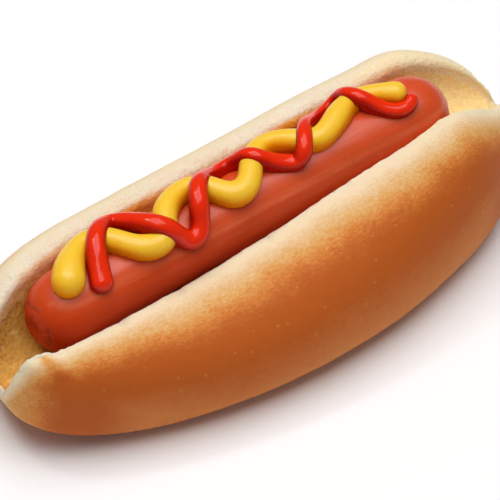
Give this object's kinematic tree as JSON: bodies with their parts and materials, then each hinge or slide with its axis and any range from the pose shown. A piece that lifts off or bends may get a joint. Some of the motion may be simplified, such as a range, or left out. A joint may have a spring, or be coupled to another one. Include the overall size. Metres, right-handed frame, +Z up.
{
  "type": "hot dog",
  "caption": "Hot dog: a soft bun opened lengthwise holds a frankfurter, with a thick wavy bead of mustard and a thinner one of ketchup crossing on top.",
  "frame": {"origin": "under the middle of the bun, on the surface that it stands on", "axes": "+X along the length towards the end where the front half stands highest, -Y towards the domed front half, +Z up"},
  "size_m": [0.1582, 0.0648, 0.0505],
  "materials": {
    "bread": "soft golden brown crust, paler towards the cut edges, with an open cream to tan crumb inside",
    "sausage": "smooth reddish brown skin with a soft sheen",
    "mustard": "satin yellow paste",
    "ketchup": "glossy red sauce"
  },
  "bodies": {
    "root": {"bun": "bread", "sausage": "sausage", "mustard": "mustard", "ketchup": "ketchup"}
  },
  "joints": []
}
